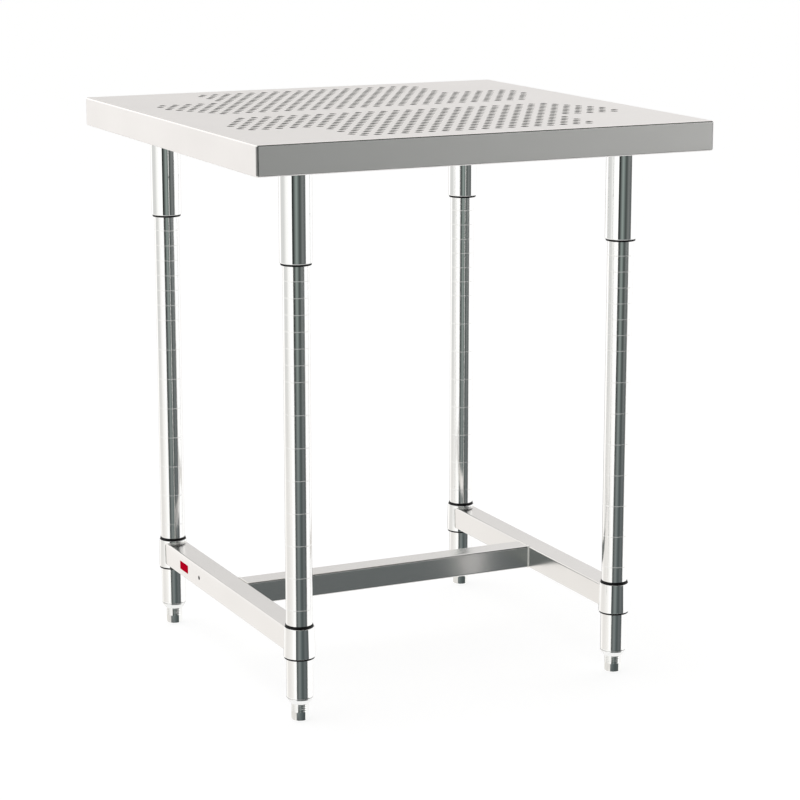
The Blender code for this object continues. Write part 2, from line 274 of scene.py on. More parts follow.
@dataclass(frozen=True)
class Metal(Finish):
    """A bare or plated metal with a grain, soft patches and bright worn edges.

    Attributes:
        grain: Waves of the grain for each metre along X, Y and Z.
        grain_depth: The height of the grain in metres.
        edge: How much of the worn edges shows, from 0 to 1.
        folded_from: Height of the flat that the sheet was folded from, so that its grain runs on over the folds.
        WORN: The colour of the worn edges.
        EDGE_REACH: How far from an edge the wear reaches.
        EDGE_RANGE: Likeness of the rounded to the plain normal where the wear is full and where it ends.
        EDGE_BREAKS: The range of the grain that breaks up the wear.
        EDGE_KEPT: The shares of the wear left at the ends of that range.
        GRAIN_ROUGH: How strong the grain's finer waves are.
        PATCH_WAVES: Waves of the patches for each metre.
        PATCH_RANGE: The range of their noise from clean to handled.
        GRAIN_SHARE: The grain's share in the roughness. The patches have the rest.
        ROUGH_RANGE: The range of that mix from the lowest to the highest roughness.
    """

    grain: Point
    grain_depth: float
    edge: float = 0.5
    folded_from: Optional[float] = None

    WORN: ClassVar[Colour] = (0.96, 0.955, 0.94)
    EDGE_REACH: ClassVar[float] = 0.0007
    EDGE_RANGE: ClassVar[Pair] = (0.9, 0.995)
    EDGE_BREAKS: ClassVar[Pair] = (0.35, 0.6)
    EDGE_KEPT: ClassVar[Pair] = (0.45, 1.0)
    GRAIN_ROUGH: ClassVar[float] = 0.62
    PATCH_WAVES: ClassVar[float] = 7.0
    PATCH_RANGE: ClassVar[Pair] = (0.38, 0.66)
    GRAIN_SHARE: ClassVar[float] = 0.65
    ROUGH_RANGE: ClassVar[Pair] = (0.34, 0.66)

    def dress(self, graph: Graph, shader: bpy.types.Node) -> None:
        """Wires the metal to the material's shader.

        Args:
            graph: The material's graph.
            shader: The principled shader.
        """
        shader.inputs["Metallic"].default_value = 1.0
        place = self._place(graph)
        stretched = graph.vector("MULTIPLY", place, self.grain).outputs[0]
        grain = graph.noise(stretched, waves=1.0, detail=3.0, rough=self.GRAIN_ROUGH)
        patches = graph.noise(place, self.PATCH_WAVES, detail=2.0)
        colour = graph.blend(graph.span(patches, self.PATCH_RANGE), self.colour, self.handled)
        worn = graph.blend(self._edges(graph, grain), colour, self.WORN)
        parts = ((grain, self.GRAIN_SHARE), (patches, 1 - self.GRAIN_SHARE))
        mixed = graph.maths("ADD", *(graph.maths("MULTIPLY", part, share) for part, share in parts))
        roughness = graph.span(mixed, self.ROUGH_RANGE, self.roughness)
        graph.surface(shader, worn, roughness, grain, self.grain_depth)

    def _place(self, graph: Graph) -> bpy.types.NodeSocket:
        """The place on the surface, unfolded back into the flat where the sheet was folded.

        Args:
            graph: The material's graph.

        Returns:
            A vector socket in metres.
        """
        place = graph.add("TexCoord").outputs["Object"]
        if self.folded_from is None:
            return place
        normal = graph.add("NewGeometry").outputs["True Normal"]
        height = graph.add("SeparateXYZ", {0: place}).outputs[2]
        drop = graph.maths("SUBTRACT", self.folded_from, height)
        shift = graph.add("VectorMath", {0: normal, "Scale": drop}, operation="SCALE").outputs[0]
        return graph.vector("ADD", place, shift).outputs[0]

    def _edges(self, graph: Graph, grain: bpy.types.NodeSocket) -> bpy.types.NodeSocket:
        """Where an edge is worn bright, broken up by the grain.

        Args:
            graph: The material's graph.
            grain: The grain's value.

        Returns:
            A value from 0 on the flats to the edge share on the edges.
        """
        rounded = graph.add("Bevel", {"Radius": self.EDGE_REACH}, samples=4).outputs[0]
        normal = graph.add("NewGeometry").outputs["Normal"]
        likeness = graph.vector("DOT_PRODUCT", rounded, normal).outputs[1]
        mask = graph.span(likeness, self.EDGE_RANGE, (self.edge, 0.0))
        return graph.maths("MULTIPLY", mask, graph.span(grain, self.EDGE_BREAKS, self.EDGE_KEPT))


@dataclass(frozen=True)
class Plastic(Finish):
    """A moulded plastic with a fine pebbled skin, rubbed in places.

    Attributes:
        pebble: Waves of the pebbled skin for each metre.
        pebble_depth: The height of the skin in metres.
        gloss: Strength of its mirror reflection, 0.5 for an ordinary plastic.
        RUB_WAVES: Waves of the rubbed places for each metre.
        RUB_RANGE: The range of their noise from clean to rubbed.
        ROUGH_RANGE: The range of the skin from the lowest to the highest roughness.
    """

    pebble: float = 2600.0
    pebble_depth: float = 0.00004
    gloss: float = 0.5

    RUB_WAVES: ClassVar[float] = 90.0
    RUB_RANGE: ClassVar[Pair] = (0.45, 0.7)
    ROUGH_RANGE: ClassVar[Pair] = (0.35, 0.65)

    def dress(self, graph: Graph, shader: bpy.types.Node) -> None:
        """Wires the plastic to the material's shader.

        Args:
            graph: The material's graph.
            shader: The principled shader.
        """
        shader.inputs["Specular IOR Level"].default_value = self.gloss
        place = graph.add("TexCoord").outputs["Object"]
        pebbles = graph.noise(place, self.pebble, detail=2.0)
        rubs = graph.span(graph.noise(place, self.RUB_WAVES, detail=3.0), self.RUB_RANGE)
        roughness = graph.span(pebbles, self.ROUGH_RANGE, self.roughness)
        graph.surface(shader, graph.blend(rubs, self.colour, self.handled), roughness, pebbles, self.pebble_depth)


@dataclass(frozen=True)
class Finishes:
    """Every finish on the table.

    Attributes:
        sheet: The worktop.
        fold: Its folds and the rolled edges of its holes.
        punched: The walls of its holes, near black as painted shade inside the holes.
        seam: Its rounded upright corners, dark grey as a painted dark reflection.
        tube_y: The side rails.
        tube_x: The cross bar.
        post: The posts.
        socket: The leg sockets and the rail collars.
        weld: The weld beads.
        plate: The stiffener and the corner plates.
        zinc: The inserts in the posts' feet.
        foot: The levelling feet.
        plastic: The split sleeves.
        sticker: The blank sticker.
    """

    sheet: Metal = Metal(
        "brushed_sheet", Slot.SHEET, (0.92, 0.898, 0.885), (0.905, 0.883, 0.87), (0.4, 0.45),
        (9.0, 2400.0, 0.0), 0.000003, edge=0.15, folded_from=TABLE_HEIGHT,
    )
    fold: Metal = Metal(
        "burnished_fold", Slot.SHEET, (0.92, 0.9, 0.885), (0.9, 0.88, 0.865), (0.12, 0.2),
        (9.0, 2400.0, 0.0), 0.000002, edge=0.15, folded_from=TABLE_HEIGHT,
    )
    # Painted shade: the hole walls are near black so that the holes look shaded inside; the steel itself is not that
    # dark.
    punched: Metal = Metal(
        "punched_edge", Slot.SHEET, (0.03, 0.028, 0.026), (0.02, 0.018, 0.017), (0.3, 0.42),
        (200.0, 200.0, 2600.0), 0.00001, edge=0.2,
    )
    # Painted dark reflection: the rounded upright corners are dark grey to show the dark line that their curve
    # reflects; the steel itself is not that dark.
    seam: Metal = Metal(
        "ground_seam", Slot.SHEET, (0.3, 0.3, 0.295), (0.26, 0.26, 0.255), (0.24, 0.34),
        (1800.0, 1800.0, 60.0), 0.000006, edge=0.2,
    )
    tube_y: Metal = Metal(
        "satin_tube_lengthwise", Slot.SATIN, (0.835, 0.82, 0.805), (0.815, 0.8, 0.785), (0.16, 0.21),
        (2400.0, 9.0, 2400.0), 0.0000015, edge=0.3,
    )
    tube_x: Metal = Metal(
        "satin_tube_crosswise", Slot.SATIN, (0.835, 0.822, 0.81), (0.815, 0.802, 0.79), (0.2, 0.25),
        (9.0, 2400.0, 2400.0), 0.0000015, edge=0.3,
    )
    post: Metal = Metal(
        "polished_post", Slot.POLISHED, (0.95, 0.948, 0.94), (0.93, 0.928, 0.92), (0.1, 0.14),
        (20.0, 20.0, 2400.0), 0.0000006, edge=0.2,
    )
    socket: Metal = Metal(
        "polished_socket", Slot.POLISHED, (0.95, 0.95, 0.945), (0.93, 0.93, 0.925), (0.035, 0.07),
        (20.0, 20.0, 2400.0), 0.0000005, edge=0.2,
    )
    weld: Metal = Metal(
        "polished_weld", Slot.POLISHED, (0.95, 0.945, 0.93), (0.86, 0.84, 0.8), (0.14, 0.26),
        (700.0, 700.0, 700.0), 0.00002,
    )
    plate: Metal = Metal(
        "satin_plate", Slot.SATIN, (0.8, 0.79, 0.775), (0.76, 0.75, 0.735), (0.26, 0.36),
        (10.0, 1200.0, 1200.0), 0.00001,
    )
    zinc: Metal = Metal(
        "bright_plated_insert", Slot.ZINC, (0.93, 0.93, 0.93), (0.89, 0.89, 0.88), (0.14, 0.24),
        (60.0, 60.0, 1500.0), 0.000006,
    )
    foot: Metal = Metal(
        "plated_foot", Slot.PLATED, (0.9, 0.9, 0.885), (0.84, 0.84, 0.825), (0.06, 0.11),
        (300.0, 300.0, 900.0), 0.000003,
    )
    plastic: Plastic = Plastic(
        "moulded_sleeve", Slot.PLASTIC, (0.005, 0.005, 0.0055), (0.011, 0.011, 0.012), (0.42, 0.58), gloss=0.2,
    )
    sticker: Plastic = Plastic(
        "plain_sticker", Slot.PLASTIC, (0.6, 0.0012, 0.02), (0.56, 0.0012, 0.018), (0.5, 0.62), 900.0, 0.00001, 0.0,
    )


class Paint:
    """Keeps one material for each finish."""

    def __init__(self) -> None:
        """Starts with no materials."""
        self.made: dict[str, bpy.types.Material] = {}

    def get(self, finish: Finish) -> bpy.types.Material:
        """The finish's material, built the first time that it is asked for.

        Args:
            finish: The finish.

        Returns:
            The material.
        """
        if finish.name not in self.made:
            self.made[finish.name] = finish.material()
        return self.made[finish.name]


FINISHES = Finishes()
PAINT = Paint()


# Shapes


def even_angles(count: int, start: float = 0.0) -> list[float]:
    """Angles spread evenly over a full turn."""
    return [start + FULL_TURN * step / count for step in range(count)]


def soften(corners: Sequence[Point], steps: int = 3, guard: float = 0.0) -> list[Pair]:
    """Rounds the corners of a closed outline.

    Args:
        corners: Each corner as its two places and the radius that it is rounded to, nought for a sharp one.
        steps: Steps in each rounded corner.
        guard: How far before and after each rounding a point guards the shading of the straight beside it.

    Returns:
        The points of the rounded outline, in the same order.
    """
    points: list[Pair] = []
    count = len(corners)
    for here, (first, second, radius) in enumerate(corners):
        if radius <= 0:
            points.append((first, second))
            continue
        middle = Vector((first, second))
        before = (Vector(corners[here - 1][:2]) - middle).normalized()
        after = (Vector(corners[(here + 1) % count][:2]) - middle).normalized()
        half = before.angle(after) / 2
        centre = middle + (before + after).normalized() * (radius / math.sin(half))
        reach = radius / math.tan(half)
        start = (middle + before * reach - centre).normalized()
        end = (middle + after * reach - centre).normalized()
        spokes = [start.slerp(end, step / steps) * radius for step in range(steps + 1)]
        arc = [(centre.x + spoke.x, centre.y + spoke.y) for spoke in spokes]
        if guard > 0:
            arc = [tuple(middle + before * (reach + guard)), *arc, tuple(middle + after * (reach + guard))]
        points += arc
    return points


def rounded_box(half_x: float, half_y: float, radius: float, steps: int, flats: int, guard: float) -> list[Pair]:
    """The outline of a rectangle with round corners, anticlockwise from the right side's upper end.

    Args:
        half_x: Half of its width.
        half_y: Half of its height.
        radius: Radius of its corners.
        steps: Steps in each round corner.
        flats: Steps along each flat between its guard points.
        guard: How far from a corner's arc a point guards the flat's shading.

    Returns:
        The points of the outline. Every outline with the same steps and flats has as many.
    """
    reach_x, reach_y = half_x - radius, half_y - radius
    centres = ((reach_x, reach_y), (-reach_x, reach_y), (-reach_x, -reach_y), (reach_x, -reach_y))
    points: list[Pair] = []
    for quarter, centre in enumerate(centres):
        angles = [QUARTER_TURN * (quarter + step / steps) for step in range(steps + 1)]
        points += [(centre[0] + radius * math.cos(a), centre[1] + radius * math.sin(a)) for a in angles]
        following = centres[(quarter + 1) % 4]
        turn = QUARTER_TURN * (quarter + 1)
        start = Vector((centre[0] + radius * math.cos(turn), centre[1] + radius * math.sin(turn)))
        end = Vector((following[0] + radius * math.cos(turn), following[1] + radius * math.sin(turn)))
        along = (end - start).normalized() * guard
        first, last = start + along, end - along
        points += [tuple(first.lerp(last, step / flats)) for step in range(flats + 1)]
    return points


class Shape:
    """A mesh in the making, in the table's own frame.

    Attributes:
        SHARP: The angle from which an edge is sharp.
        MERGE: The distance below which two points of a filled flat are one.
    """

    SHARP: ClassVar[float] = math.radians(32)
    MERGE: ClassVar[float] = 1e-7

    def __init__(self) -> None:
        """Starts with no corners and no faces."""
        self.corners: list[Point] = []
        self.faces: list[Sequence[int]] = []
        self.tones: dict[int, int] = {}

    def ring(self, points: Iterable[Point]) -> Ring:
        """Adds corners.

        Args:
            points: Their places.

        Returns:
            Their numbers, in the same order.
        """
        first = len(self.corners)
        self.corners.extend(tuple(point) for point in points)
        return list(range(first, len(self.corners)))

    def tone(self, faces: Iterable[int], number: int) -> None:
        """Marks faces for the piece's finish of that number, nought being the main one."""
        self.tones.update(dict.fromkeys(faces, number))

    def bridge(self, lower: Ring, upper: Ring, left_out: Sequence[int] = ()) -> None:
        """Adds a band of faces between two rings with as many corners each.

        Args:
            lower: The first ring.
            upper: The second ring.
            left_out: Numbers of the steps that stay open.
        """
        count = len(lower)
        for here in range(count):
            if here not in left_out:
                after = (here + 1) % count
                self.faces.append((lower[here], lower[after], upper[after], upper[here]))

    def loft(self, rings: Sequence[Ring], closed: bool = False) -> None:
        """Joins each ring to the next with bands of faces.

        Args:
            rings: The rings, in order.
            closed: Whether the last is joined to the first.
        """
        for lower, upper in zip(rings, rings[1:]):
            self.bridge(lower, upper)
        if closed:
            self.bridge(rings[-1], rings[0])

    def cap(self, *rings: Ring) -> None:
        """Closes each ring with one face."""
        self.faces += [tuple(ring) for ring in rings]

    def fill(self, border: Ring, holes: Sequence[Ring], axes: tuple[int, int]) -> list[tuple[int, int, int]]:
        """Fills a flat between its border and its holes with triangles.

        Args:
            border: The ring round the flat.
            holes: The rings round its holes, each of them convex.
            axes: The two axes that the flat lies along.

        Returns:
            The triangles that were added.
        """
        rings = [border, *holes]
        numbers = [number for ring in rings for number in ring]
        owners = [owner for owner, ring in enumerate(rings) for _ in ring]
        links: list[tuple[int, int]] = []
        for ring in rings:
            first, count = len(links), len(ring)
            links += [(first + step, first + (step + 1) % count) for step in range(count)]
        flat = [Vector((self.corners[n][axes[0]], self.corners[n][axes[1]])) for n in numbers]
        # An output type of 1 keeps the triangles inside the border. Those with all three corners on one hole go.
        found = delaunay_2d_cdt(flat, links, [], 1, self.MERGE)
        made = []
        for triangle in found[2]:
            places = [found[3][corner][0] for corner in triangle]
            touched = {owners[place] for place in places}
            if len(touched) > 1 or 0 in touched:
                made.append(tuple(numbers[place] for place in places))
        self.faces += made
        return made

    def lathe(self, profile: Sequence[Pair], angles: Sequence[float], centre: Pair, closed: bool = True) -> None:
        """Turns a closed profile round a vertical axis.

        Args:
            profile: The profile's (radius, height) points.
            angles: The angles of its steps round the axis.
            centre: Where the axis stands.
            closed: Whether it goes all the way round. If not, its two ends are closed flat.
        """
        slices = []
        for angle in angles:
            cosine, sine = math.cos(angle), math.sin(angle)
            slices.append(self.ring((centre[0] + r * cosine, centre[1] + r * sine, z) for r, z in profile))
        self.loft(slices, closed)
        if not closed:
            self.cap(slices[0], slices[-1])

    def mesh(self, name: str) -> bpy.types.Mesh:
        """Makes the finished mesh, facing out, smooth but for its sharp edges.

        Args:
            name: The mesh's name.

        Returns:
            The mesh.
        """
        mesh = bpy.data.meshes.new(name)
        mesh.from_pydata(self.corners, [], self.faces)
        shape = bmesh.new()
        shape.from_mesh(mesh)
        bmesh.ops.recalc_face_normals(shape, faces=shape.faces)
        shape.to_mesh(mesh)
        shape.free()
        for face, number in self.tones.items():
            mesh.polygons[face].material_index = number
        mesh.shade_smooth()
        mesh.set_sharp_from_angle(angle=self.SHARP)
        return mesh


def turned(profile: Sequence[Pair], sides: int, centre: Pair) -> Shape:
    """A closed profile turned all the way round a vertical axis.

    Args:
        profile: The profile's (radius, height) points.
        sides: Steps round the axis.
        centre: Where the axis stands.

    Returns:
        The shape.
    """
    shape = Shape()
    shape.lathe(profile, even_angles(sides), centre)
    return shape


@dataclass(frozen=True)
class Bead:
    """A rippled weld bead.

    Attributes:
        radius: Its radius.
        ripple: How far it swells and shrinks, as a share of its radius.
        waves: Its ripples in all.
        sides: Sides of its cross-section.
    """

    radius: float
    ripple: float
    waves: int
    sides: int = 8

    def lay(self, path: Sequence[Vector]) -> Shape:
        """Lays the bead along a closed path.

        Args:
            path: The points of the path.

        Returns:
            The shape.
        """
        shape = Shape()
        middle = sum(path, Vector()) / len(path)
        turns = even_angles(self.sides)
        rings = []
        for here, place in enumerate(path):
            along = (path[(here + 1) % len(path)] - path[here - 1]).normalized()
            outward = (place - middle) - along * (place - middle).dot(along)
            outward.normalize()
            across = along.cross(outward)
            size = self.radius * (1 + self.ripple * math.sin(FULL_TURN * self.waves * here / len(path)))
            rings.append(shape.ring(place + (outward * math.cos(t) + across * math.sin(t)) * size for t in turns))
        shape.loft(rings, closed=True)
        return shape


def add_object(name: str, data: bpy.types.ID) -> bpy.types.Object:
    """Adds an object to the scene.

    Args:
        name: The object's name.
        data: Its mesh, camera or lamp data.

    Returns:
        The object.
    """
    added = bpy.data.objects.new(name, data)
    bpy.context.scene.collection.objects.link(added)
    return added


def fit_piece(
    name: str, shape: Shape, finish: Finish, body: Body, *nodes: str, accents: Sequence[Finish] = (),
) -> None:
    """Makes one piece, rides it on its body and lets it stand for its nodes.

    Args:
        name: The piece's name.
        shape: Its shape.
        finish: Its main finish.
        body: The body that carries it.
        nodes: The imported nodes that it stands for.
        accents: The finishes of the faces that the shape marks, from number one on.
    """
    piece = add_object(name, shape.mesh(name))
    for part in (finish, *accents):
        piece.data.materials.append(PAINT.get(part))
    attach(piece, body.value)
    if nodes:
        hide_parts(*nodes)
    log.info("%s on %s: %d faces, %s", name, body.value, len(piece.data.polygons), finish.name)


def keep_node(node: str, finish: Finish) -> None:
    """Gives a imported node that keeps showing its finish.

    Args:
        node: The node's name.
        finish: Its finish.
    """
    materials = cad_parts[node].data.materials
    materials.clear()
    materials.append(PAINT.get(finish))
    log.info("%s kept from the frame, %s", node, finish.name)


# The table


@dataclass(frozen=True)
class Layout:
    """Sizes that more than one sub-assembly is built from.

    Attributes:
        top_side: Side of the square top.
        height: Height of the table.
        sheet: Thickness of the sheet.
        gap: Clearance between two pieces that meet.
        guard: How far from a rounding a point guards the shading of the flat beside it.
        leg_offset: Distance of each leg's axis from the middle, in X and in Y.
        post_radius: Radius of a post.
        post_bottom: Height of the posts' lower ends.
        socket_bottom: Height of the sockets' lower ends.
        socket_top: Height of the sockets' upper ends.
        sleeve_height: Height over which a split sleeve's taper is measured, which an upper one has in full.
        sleeve_bottom_radius: Outer radius of a sleeve at its lower end.
        sleeve_top_radius: Outer radius at the top of that taper.
        sleeve_show: How far a sleeve shows below its socket or collar.
        collar_bottom: Height of the collars' lower ends.
        collar_height: Height of a collar.
        collar_bottom_radius: Outer radius of a collar at its lower end.
        collar_top_radius: Outer radius of a collar at its upper end.
        rail_side: Side of the square tube.
        rail_middle: Height of the square tubes' middle.
    """

    top_side: float = 0.760
    height: float = TABLE_HEIGHT
    sheet: float = 0.0016
    gap: float = 0.0003
    guard: float = 0.0006
    leg_offset: float = 0.2774
    post_radius: float = 0.02065
    post_bottom: float = 0.0372
    socket_bottom: float = 0.7125
    socket_top: float = 0.8978
    sleeve_height: float = 0.059
    sleeve_bottom_radius: float = 0.0229
    sleeve_top_radius: float = 0.022
    sleeve_show: float = 0.003
    collar_bottom: float = 0.1023
    collar_height: float = 0.0471
    collar_bottom_radius: float = 0.0245
    collar_top_radius: float = 0.0233
    rail_side: float = 0.0381
    rail_middle: float = 0.12695

    def place(self, corner: Corner) -> Pair:
        """Where a leg's axis stands."""
        return corner.value[0] * self.leg_offset, corner.value[1] * self.leg_offset

    def sleeve_radius(self, height: float) -> float:
        """Outer radius of a split sleeve at a height above its lower end."""
        share = height / self.sleeve_height
        return self.sleeve_bottom_radius + (self.sleeve_top_radius - self.sleeve_bottom_radius) * share

    def collar_radius(self, height: float) -> float:
        """Outer radius of a rail collar at a height above the floor."""
        share = (height - self.collar_bottom) / self.collar_height
        return self.collar_bottom_radius + (self.collar_top_radius - self.collar_bottom_radius) * share


LAYOUT = Layout()


@dataclass
class Worktop:
    """The folded, perforated sheet, with the stiffener, corner plates and leg sockets under it.

    Attributes:
        apron: Height of the turned-down edge.
        bend: Outer radius of the folds.
        bend_steps: Steps in a fold and in an upright corner.
        lip: Width of the lip turned in at the bottom of the apron.
        corner: Radius of the upright corners.
        inner_corner: Smallest radius that a corner keeps further in.
        hole_radius: Radius of a hole.
        rim: Width of the broken edges of the lip and of a hole's lower end.
        roll: Radius that the punch rolled a hole's upper edge to.
        roll_steps: Steps in that rolled edge.
        hole_sides: Sides that a hole is drawn with.
        pitch: Distance from hole to hole along a row.
        row_step: Distance from row to row.
        first_row: Distance of the first row from the middle.
        rows: Rows on each side of the middle.
        wide_rows: Rows that run past the corner plates.
        first_count: Steps from the middle to the end of the first row.
        widest_count: Steps from the middle to the end of the longest row.
        narrow_count: Steps from the middle to the end of the longest row beside the corner plates.
        socket_radius: Outer radius of a leg socket.
        socket_lip: Radius of the rounding at its mouth.
        socket_sides: Sides that it is drawn with.
        bead: The weld round its top.
        bead_steps: Steps of that weld.
    """

    apron: float = 0.0467
    bend: float = 0.0025
    bend_steps: int = 6
    lip: float = 0.015
    corner: float = 0.003
    inner_corner: float = 0.0008
    hole_radius: float = 0.0067
    rim: float = 0.0003
    roll: float = 0.0005
    roll_steps: int = 2
    hole_sides: int = 20
    pitch: float = 0.022225
    row_step: float = 0.01925
    first_row: float = 0.0385
    rows: int = 16
    wide_rows: int = 9
    first_count: float = 12.0
    widest_count: float = 14.5
    narrow_count: float = 9.0
    socket_radius: float = 0.025
    socket_lip: float = 0.0014
    socket_sides: int = 64
    bead: Bead = Bead(radius=0.0022, ripple=1 / 12, waves=40)
    bead_steps: int = 120

    def hole_centres(self) -> Iterator[Pair]:
        """The centres of the holes, in staggered rows on each side of the middle.

        Yields:
            The centre of each hole.
        """
        for row in range(self.rows):
            if row < self.wide_rows:
                reach = min(self.widest_count, self.first_count + row / 2)
            else:
                reach = self.narrow_count
            stagger = (row % 2) / 2
            steps = int(reach - stagger)
            along = [stagger + step for step in range(-steps - (row % 2), steps + 1)]
            across = self.first_row + row * self.row_step
            for side in (-1, 1):
                for step in along:
                    yield step * self.pitch, side * across

    def hole_levels(self) -> list[Pair]:
        """A hole's wall: a guard ring on the deck, the rolled edge, the punched wall and its broken lower edge.

        Returns:
            The (radius, height) points, from the deck's top down.
        """
        top, under = LAYOUT.height, LAYOUT.height - LAYOUT.sheet
        levels = [(self.hole_radius + self.roll + self.rim / 2, top)]
        for step in range(self.roll_steps + 1):
            turn = QUARTER_TURN * step / self.roll_steps
            levels.append((
                self.hole_radius + self.roll * (1 - math.sin(turn)),
                top - self.roll * (1 - math.cos(turn)),
            ))
        return levels + [(self.hole_radius, under + self.rim), (self.hole_radius + self.rim, under)]

    def sheet_profile(self) -> list[Pair]:
        """The folded edge of the sheet.

        Returns:
            The (inset, height) points, from the deck's top down the outer face, round the lip and up the inner face
            to the deck's underside. The first and the last are where the deck's flats begin.
        """
        top, bottom, guard = LAYOUT.height, LAYOUT.height - self.apron, LAYOUT.guard
        inside = self.bend - LAYOUT.sheet
        flat = self.bend + guard
        deck = flat + guard

        def arc(radius: float, height: float, start: float) -> list[Pair]:
            """A quarter of a fold, from the start angle on."""
            angles = [start + QUARTER_TURN * step / self.bend_steps for step in range(self.bend_steps + 1)]
            return [(self.bend + radius * math.cos(a), height + radius * math.sin(a)) for a in angles]

        def face(radius: float, inset: float) -> list[Pair]:
            """One face of the sheet, over the upper fold, down the apron and round the lower fold."""
            upright = [(inset, top - flat), (inset, bottom + flat)]
            return arc(radius, top - self.bend, QUARTER_TURN) + upright + arc(radius, bottom + self.bend, HALF_TURN)

        edge = [(flat, bottom), (self.lip - self.rim, bottom), (self.lip, bottom + self.rim)]
        edge += [(self.lip, bottom + LAYOUT.sheet - self.rim), (self.lip - self.rim, bottom + LAYOUT.sheet)]
        edge += [(flat, bottom + LAYOUT.sheet)]
        under = top - LAYOUT.sheet
        inner = face(inside, LAYOUT.sheet)[::-1]
        return [(deck, top), (flat, top), *face(self.bend, 0.0), *edge, *inner, (flat, under), (deck, under)]

    def sheet_shape(self) -> Shape:
        """The folded sheet with its holes.

        Returns:
            The shape.
        """
        shape = Shape()
        rings = []
        for inset, height in self.sheet_profile():
            radius = max(self.corner - inset, self.inner_corner)
            half = LAYOUT.top_side / 2 - inset
            points = rounded_box(half, half, radius, self.bend_steps, flats=1, guard=LAYOUT.guard)
            rings.append(shape.ring((x, y, height) for x, y in points))
        shape.loft(rings)
        columns, quarter_columns = len(rings[0]), len(rings[0]) // 4
        # Two bands of the deck come before the outer fold, and three bands of the apron after it.
        fold = range(2, 2 + self.bend_steps)
        upright = range(fold.stop, fold.stop + 3)
        # The columns of the rounded upright corners, over the apron, take the painted dark reflection.
        shaded_corner_steps = [step for step in range(columns) if step % quarter_columns < self.bend_steps]
        shape.tone((band * columns + step for band in upright for step in shaded_corner_steps), SheetTone.SEAM)
        shape.tone(range(fold.start * columns, fold.stop * columns), SheetTone.FOLD)
        levels = self.hole_levels()
        turns = [(math.cos(a), math.sin(a)) for a in even_angles(self.hole_sides)]
        upper, lower = [], []
        for x, y in self.hole_centres():
            walls = [shape.ring((x + r * c, y + r * s, z) for c, s in turns) for r, z in levels]
            shape.loft(walls)
            # The wall and its lower edge get the near-black painted shade of the holes; the rolled edge above them
            # gets the fold's finish.
            punched = len(shape.faces) - 2 * self.hole_sides
            shape.tone(range(punched - self.roll_steps * self.hole_sides, punched), SheetTone.FOLD)
            shape.tone(range(punched, len(shape.faces)), SheetTone.PUNCHED)
            upper.append(walls[0])
            lower.append(walls[-1])
        flat = shape.fill(rings[0], upper, (0, 1))
        partners = dict(zip(rings[0], rings[-1]))
        for high, low in zip(upper, lower):
            partners.update(zip(high, low))
        shape.faces += [tuple(partners[corner] for corner in reversed(face)) for face in flat]
        return shape

    def socket_profile(self) -> list[Pair]:
        """A leg socket's closed profile, its mouth slightly rounded.

        Returns:
            The (radius, height) points.
        """
        mouth = LAYOUT.sleeve_bottom_radius + LAYOUT.gap
        throat = LAYOUT.sleeve_top_radius + LAYOUT.gap
        sleeve_top = LAYOUT.socket_bottom - LAYOUT.sleeve_show + LAYOUT.sleeve_height + LAYOUT.gap
        return soften([
            (self.socket_radius, LAYOUT.socket_top, 0),
            (self.socket_radius, LAYOUT.socket_bottom, self.socket_lip),
            (mouth, LAYOUT.socket_bottom, LAYOUT.gap / 2),
            (throat, sleeve_top, 0),
            (throat, LAYOUT.socket_top, 0),
        ], guard=LAYOUT.guard)

    def socket_weld(self, centre: Pair) -> Shape:
        """The weld bead round the top of a socket.

        Args:
            centre: Where the socket's axis stands.

        Returns:
            The shape.
        """
        reach, height = self.socket_radius, LAYOUT.socket_top - self.bead.radius / 2
        angles = even_angles(self.bead_steps)
        return self.bead.lay([
            Vector((centre[0] + reach * math.cos(a), centre[1] + reach * math.sin(a), height)) for a in angles
        ])

    def build(self) -> None:
        """Builds the sheet and what is fixed under it."""
        fit_piece(
            "folded_worktop", self.sheet_shape(), FINISHES.sheet, Body.TOP, "worktop",
            accents=(FINISHES.punched, FINISHES.seam, FINISHES.fold),
        )
        keep_node("centre_stiffener", FINISHES.plate)
        for corner in Corner:
            centre, tag = LAYOUT.place(corner), corner.tag
            keep_node("corner_plate_" + tag, FINISHES.plate)
            socket = turned(self.socket_profile(), self.socket_sides, centre)
            fit_piece("socket_tube_" + tag, socket, FINISHES.socket, Body.TOP, "leg_socket_" + tag)
            fit_piece("socket_weld_" + tag, self.socket_weld(centre), FINISHES.weld, Body.TOP)


